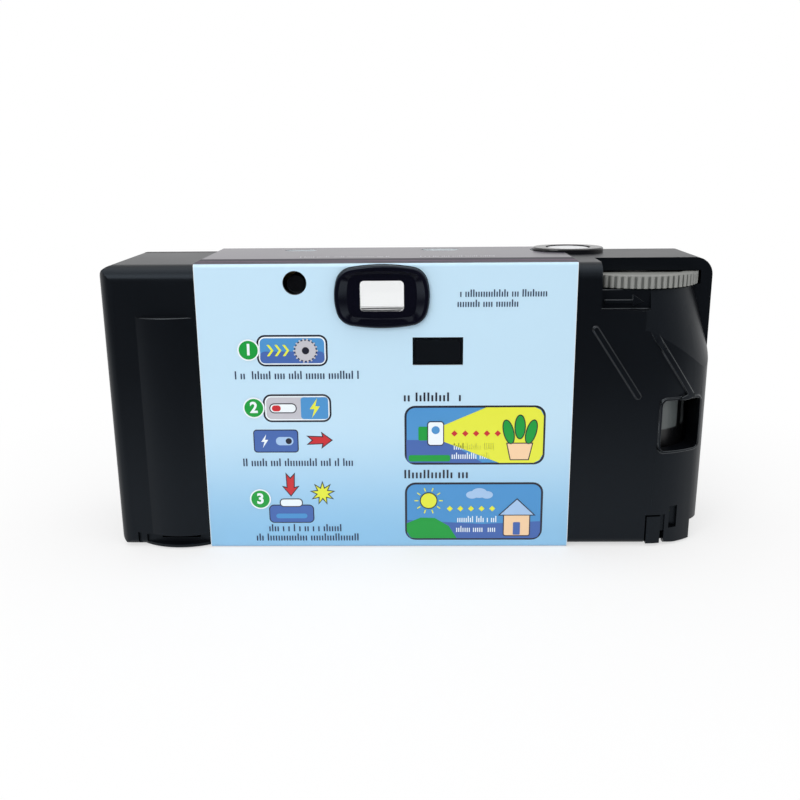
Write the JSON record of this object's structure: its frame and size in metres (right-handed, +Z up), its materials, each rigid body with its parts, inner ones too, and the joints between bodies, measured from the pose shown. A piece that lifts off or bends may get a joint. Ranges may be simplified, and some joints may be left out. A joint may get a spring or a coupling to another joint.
{
  "type": "compact film camera",
  "caption": "Single-use 35 mm film camera with built-in flash: a black plastic body in a printed card sleeve, with a direct finder, winding wheel, shutter button and film door.",
  "frame": {"origin": "middle of the sleeve's underside, on the table", "axes": "+X to the right as the user looks at the back, +Y towards the subject, +Z up"},
  "size_m": [0.118, 0.0333, 0.0576],
  "materials": {
    "black_plastic": "moulded, fine satin",
    "inner_plastic": "matt black against stray light",
    "printed_card": "coated card, printed",
    "eyepiece_plastic": "dark navy, glossy",
    "wheel_plastic": "warm light grey",
    "button_plastic": "white, satin gloss",
    "collar_plastic": "black",
    "clear_plastic": "clear moulded plastic",
    "frosted_plastic": "prismatic clear plastic",
    "film_base": "grey-brown film",
    "cassette_metal": "lithographed sheet steel",
    "cap_metal": "black lacquered sheet steel",
    "felt": "black velvet",
    "white_plastic": "natural white",
    "spring_steel": "drawn wire",
    "contact_brass": "stamped strip",
    "circuit_board": "phenolic board",
    "capacitor_sleeve": "aluminium can in a black sleeve",
    "coil_tape": "taped winding",
    "reflector_metal": "polished sheet",
    "lamp_glass": "clear glass",
    "tube_glass": "clear glass",
    "cell_jacket": "steel can with a plain jacket",
    "counter_plastic": "white with printed numerals"
  },
  "bodies": {
    "camera_body": {"back_cover": "black_plastic", "front_cover": "black_plastic", "sleeve": "printed_card", "eyepiece_bezel": "eyepiece_plastic", "finder_tunnel": "inner_plastic", "finder_front_lens": "clear_plastic", "finder_rear_lens": "clear_plastic", "cassette_shell": "cassette_metal", "cassette_top_cap": "cap_metal", "cassette_bottom_cap": "cap_metal", "light_trap_felts": "felt", "film_strip": "film_base", "main_frame": "inner_plastic", "counter_window": "clear_plastic", "lamp_window": "clear_plastic", "shutter_collar": "collar_plastic", "drive_spring": "spring_steel", "metering_spring": "spring_steel", "shutter_plate": "inner_plastic", "taking_lens": "clear_plastic", "lens_retainer": "inner_plastic", "lens_ring": "black_plastic", "flash_board": "circuit_board", "flash_capacitor": "capacitor_sleeve", "flash_transformer": "coil_tape", "flash_reflector": "reflector_metal", "flash_tube": "tube_glass", "flash_window": "frosted_plastic", "ready_lamp": "lamp_glass", "lamp_light_pipe": "clear_plastic", "flash_cell": "cell_jacket", "cell_contacts": "contact_brass", "sync_contact": "contact_brass", "switch_contact": "contact_brass"},
    "winding_wheel": {"thumbwheel": "wheel_plastic", "cassette_spool": "inner_plastic"},
    "sprocket": {"film_sprocket": "white_plastic"},
    "supply_roll": {"film_roll": "film_base", "supply_core": "inner_plastic"},
    "counter": {"counter_dial": "counter_plastic"},
    "button": {"shutter_button": "button_plastic"},
    "metering_arm": {"metering_lever": "white_plastic"},
    "shutter_drive": {"drive_lever": "white_plastic"},
    "blade": {"shutter_blade": "inner_plastic"},
    "flash_switch": {"flash_slider": "black_plastic"},
    "door": {"film_door": "black_plastic"}
  },
  "joints": [
    {"name": "thumbwheel_spin", "type": "hinge", "parent": "camera_body", "child": "winding_wheel", "pos_m": [0.0442, 0, 0.0516], "axis": [0, 0, 1], "continuous": true},
    {"name": "sprocket_spin", "type": "hinge", "parent": "camera_body", "child": "sprocket", "pos_m": [0.02395, -0.0054, 0.0448], "axis": [0, 0, 1], "continuous": true},
    {"name": "supply_spin", "type": "hinge", "parent": "camera_body", "child": "supply_roll", "pos_m": [-0.0466, -0.00275, 0.0256], "axis": [0, 0, 1], "continuous": true},
    {"name": "counter_spin", "type": "hinge", "parent": "camera_body", "child": "counter", "pos_m": [0.011, 0.0036, 0.0532], "axis": [0, 0, 1], "continuous": true},
    {"name": "shutter_press", "type": "slide", "parent": "camera_body", "child": "button", "axis": [0, 0, -1], "range_m": [0, 0.0012], "stiffness_N_per_m": 1200, "springref_m": -0.0006},
    {"name": "metering_swing", "type": "hinge", "parent": "camera_body", "child": "metering_arm", "pos_m": [0.0285, 0.003, 0.0501], "axis": [-1, 0, 0], "range_deg": [0, 12], "stiffness_Nm_per_rad": 0.004, "springref_deg": -5.73, "deforming": ["metering_spring"]},
    {"name": "drive_swing", "type": "hinge", "parent": "camera_body", "child": "shutter_drive", "pos_m": [0.0166, 0.0034, 0.0457], "axis": [0, 0, 1], "range_deg": [-14, 18], "stiffness_Nm_per_rad": 0.004},
    {"name": "blade_swing", "type": "hinge", "parent": "camera_body", "child": "blade", "pos_m": [0.0074, 0.0098, 0.035], "axis": [0, -1, 0], "range_deg": [0, 28], "stiffness_Nm_per_rad": 0.0006, "springref_deg": -28.65},
    {"name": "flash_slide", "type": "slide", "parent": "camera_body", "child": "flash_switch", "axis": [-1, 0, 0], "range_m": [0, 0.0055]},
    {"name": "film_door_swing", "type": "hinge", "parent": "camera_body", "child": "door", "pos_m": [0.03295, 0, 0.0015], "axis": [0, 1, 0], "range_deg": [0, 95]}
  ],
  "couplings": [
    {"joint": "sprocket_spin", "follows": "thumbwheel_spin", "ratio": 1.405},
    {"joint": "supply_spin", "follows": "thumbwheel_spin", "ratio": 1.1},
    {"joint": "counter_spin", "follows": "thumbwheel_spin", "ratio": -0.0468},
    {"joint": "metering_swing", "follows": "shutter_press", "rad_per_m": 152}
  ]
}
